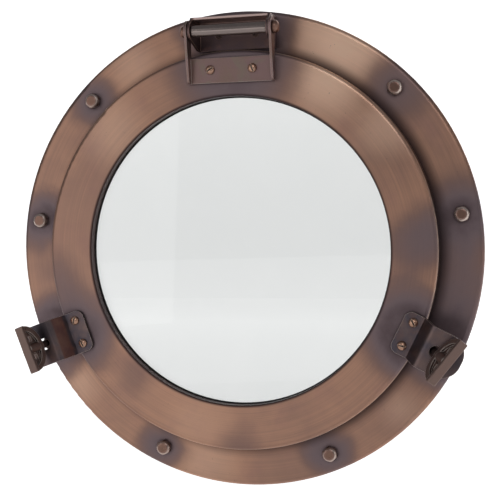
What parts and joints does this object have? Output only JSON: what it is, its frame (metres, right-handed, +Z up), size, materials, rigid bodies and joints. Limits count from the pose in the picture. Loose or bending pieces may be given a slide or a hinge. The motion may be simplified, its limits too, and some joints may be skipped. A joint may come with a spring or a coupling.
{
  "type": "opening porthole",
  "caption": "Round top-hung opening porthole: wall flange with fixing bolts, glazed ring on a hinge, and dog arms with wing screws that hold it shut.",
  "frame": {"origin": "porthole axis where it meets the wall, on the back face of the flange", "axes": "+Z up towards the hinge, front towards -Y, +Y along the collar into the wall, +X to the right seen from the front"},
  "size_m": [0.3809, 0.1112, 0.381],
  "materials": {
    "antique_casting": "antique copper patina, brushed",
    "antique_ring": "antique copper patina, turned",
    "bolt_metal": "antique copper patina",
    "bracket_metal": "dark antique patina",
    "screw_metal": "rubbed copper",
    "pin_metal": "rubbed copper",
    "tube_metal": "antique copper patina",
    "wing_metal": "antique copper patina, cast",
    "black_rubber": "matt",
    "clear_glass": "polished"
  },
  "bodies": {
    "frame": {"frame_flange": "antique_casting", "frame_collar": "antique_casting", "frame_bolts": "bolt_metal", "hinge_frame_bracket": "bracket_metal", "hinge_frame_screws": "screw_metal", "hinge_pin": "pin_metal", "hinge_pin_cap": "pin_metal", "hinge_tube": "tube_metal", "dog_boss_left": "bracket_metal", "dog_boss_right": "bracket_metal"},
    "door": {"door_ring": "antique_ring", "glass_gasket": "black_rubber", "glass_pane": "clear_glass", "retaining_ring": "antique_casting", "retaining_screws": "screw_metal", "door_seal": "black_rubber", "hinge_door_bracket": "bracket_metal", "hinge_door_screws": "screw_metal", "dog_arm_left": "bracket_metal", "dog_arm_right": "bracket_metal", "dog_arm_screws": "screw_metal"},
    "dog_swing_left": {"dog_washer_left": "screw_metal"},
    "dog_slider_left": {"dog_collar_left": "screw_metal"},
    "dog_screw_left": {"dog_stud_left": "screw_metal", "wing_head_left": "wing_metal"},
    "dog_swing_right": {"dog_washer_right": "screw_metal"},
    "dog_slider_right": {"dog_collar_right": "screw_metal"},
    "dog_screw_right": {"dog_stud_right": "screw_metal", "wing_head_right": "wing_metal"}
  },
  "joints": [
    {"name": "door_hinge", "type": "hinge", "parent": "frame", "child": "door", "pos_m": [0, -0.032, 0.1725], "axis": [-1, 0, 0], "range_deg": [0, 115]},
    {"name": "dog_left_swing", "type": "hinge", "parent": "door", "child": "dog_swing_left", "pos_m": [-0.1563, -0.04475, -0.07271], "axis": [-0.3387, 0, 0.9409], "range_deg": [-14, 3]},
    {"name": "dog_left_advance", "type": "slide", "parent": "dog_swing_left", "child": "dog_slider_left", "axis": [0.2435, 0.9659, 0.0877], "range_m": [0, 0.001]},
    {"name": "dog_left_turn", "type": "hinge", "parent": "dog_slider_left", "child": "dog_screw_left", "pos_m": [-0.1563, -0.04475, -0.07271], "axis": [0.2435, 0.9659, 0.0877], "range_deg": [0, 360.5]},
    {"name": "dog_right_swing", "type": "hinge", "parent": "door", "child": "dog_swing_right", "pos_m": [0.15582, -0.04475, -0.07399], "axis": [-0.4478, 0, -0.8942], "range_deg": [0, 17]},
    {"name": "dog_right_advance", "type": "slide", "parent": "dog_swing_right", "child": "dog_slider_right", "axis": [-0.4335, 0.8746, 0.2171], "range_m": [0, 0.001]},
    {"name": "dog_right_turn", "type": "hinge", "parent": "dog_slider_right", "child": "dog_screw_right", "pos_m": [0.15582, -0.04475, -0.07399], "axis": [-0.4335, 0.8746, 0.2171], "range_deg": [0, 360.5]}
  ],
  "couplings": [
    {"joint": "dog_left_turn", "follows": "dog_left_advance", "rad_per_m": 6283.2},
    {"joint": "dog_right_turn", "follows": "dog_right_advance", "rad_per_m": 6283.2}
  ]
}
